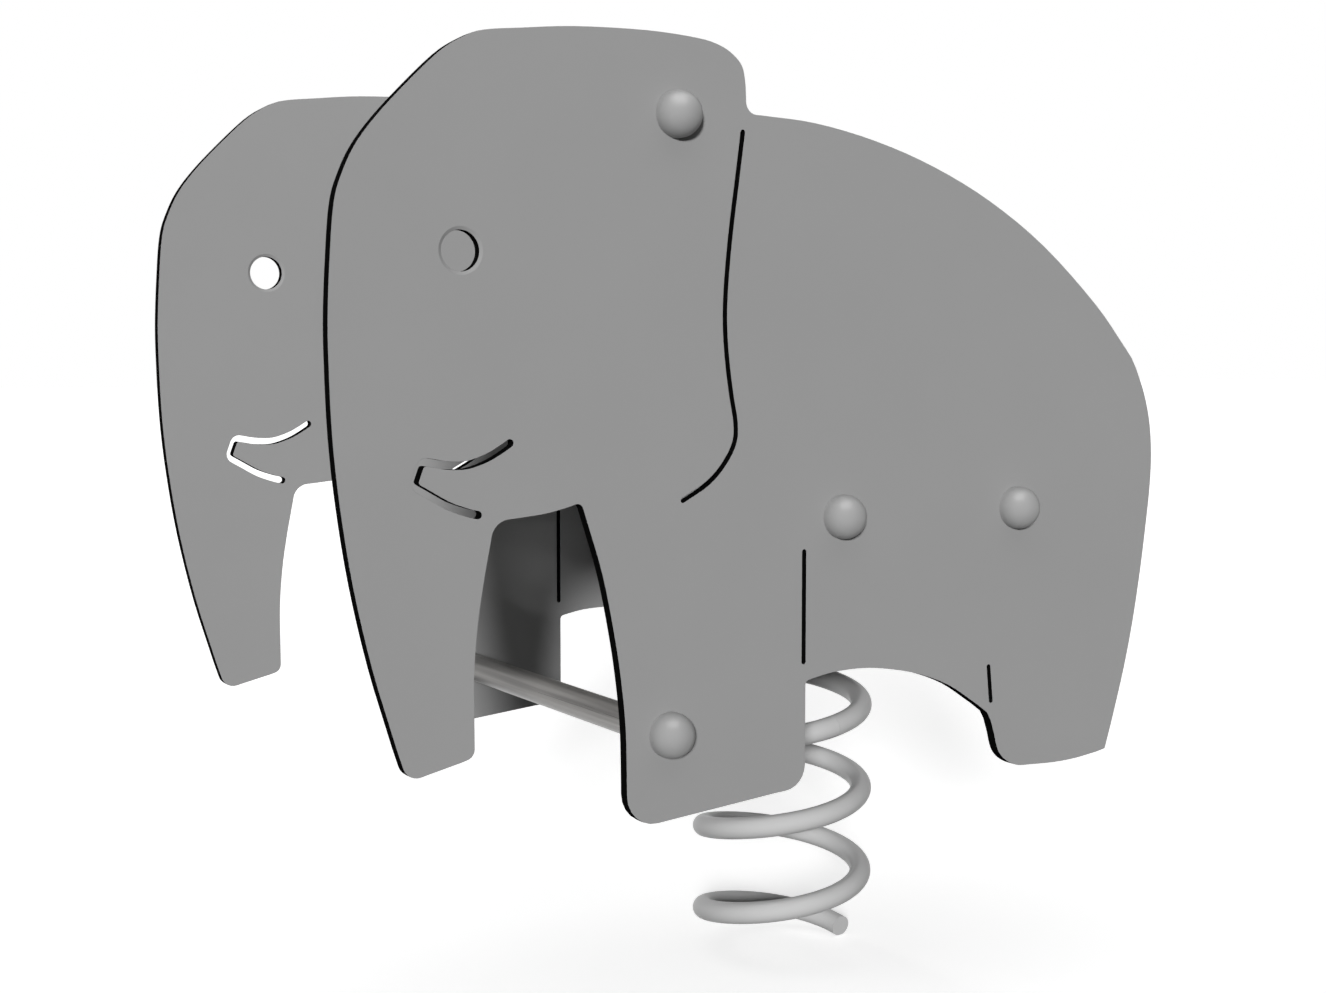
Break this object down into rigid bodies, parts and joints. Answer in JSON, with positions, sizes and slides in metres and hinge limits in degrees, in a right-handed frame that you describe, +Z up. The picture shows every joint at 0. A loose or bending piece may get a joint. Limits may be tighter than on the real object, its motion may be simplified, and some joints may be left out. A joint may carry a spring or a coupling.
{
  "type": "spring rider",
  "caption": "Elephant-shaped spring rider: two slotted sheet side panels with handle bar, footrest and seat on a folded steel saddle, carried by one open coil spring.",
  "frame": {"origin": "on the axis of the spring, at the height of the ground, on the middle plane between the panels", "axes": "+X the way the animal faces, +Y to the animal's left, +Z up"},
  "size_m": [0.7804, 0.494, 0.815],
  "materials": {
    "sheet": "matt grey compact laminate with a black core on its cut edges",
    "cap_plastic": "satin grey moulded plastic",
    "tube_steel": "brushed steel tube",
    "zinc_steel": "zinc coated steel",
    "spring_paint": "light grey satin paint on spring steel"
  },
  "bodies": {
    "ground_end": {"spring_lower_coils": "spring_paint"},
    "mid_spring": {"spring_middle_coils": "spring_paint"},
    "top_spring": {"spring_upper_coils": "spring_paint"},
    "rider": {"left_panel": "sheet", "right_panel": "sheet", "handle_tube": "tube_steel", "footrest_tube": "tube_steel", "handle_inserts": "zinc_steel", "footrest_inserts": "zinc_steel", "handle_bolts": "zinc_steel", "footrest_bolts": "zinc_steel", "saddle_bolts": "zinc_steel", "saddle_washers": "zinc_steel", "saddle_nuts": "zinc_steel", "left_cap_bases": "cap_plastic", "right_cap_bases": "cap_plastic", "left_bolt_caps": "cap_plastic", "right_bolt_caps": "cap_plastic", "saddle": "zinc_steel", "seat_board": "sheet", "seat_bolts": "zinc_steel", "seat_nuts": "zinc_steel", "spring_plate": "zinc_steel", "plate_screws": "zinc_steel", "spring_clamps": "zinc_steel", "clamp_bolts": "zinc_steel"}
  },
  "joints": [
    {"name": "rock_fore_aft", "type": "hinge", "parent": "ground_end", "child": "mid_spring", "pos_m": [0, 0, 0.12], "axis": [0, 1, 0], "range_deg": [-20, 20], "stiffness_Nm_per_rad": 560, "springref_deg": -1.47, "deforming": ["spring_lower_coils"]},
    {"name": "rock_sideways", "type": "hinge", "parent": "mid_spring", "child": "top_spring", "pos_m": [0, 0, 0.28], "axis": [1, 0, 0], "range_deg": [-15, 15], "stiffness_Nm_per_rad": 560, "springref_deg": 0.01, "deforming": ["spring_middle_coils"]},
    {"name": "bounce", "type": "slide", "parent": "top_spring", "child": "rider", "axis": [0, 0, 1], "range_m": [-0.015, 0.01], "stiffness_N_per_m": 88000, "springref_m": 0.00258, "deforming": ["spring_upper_coils"]}
  ]
}
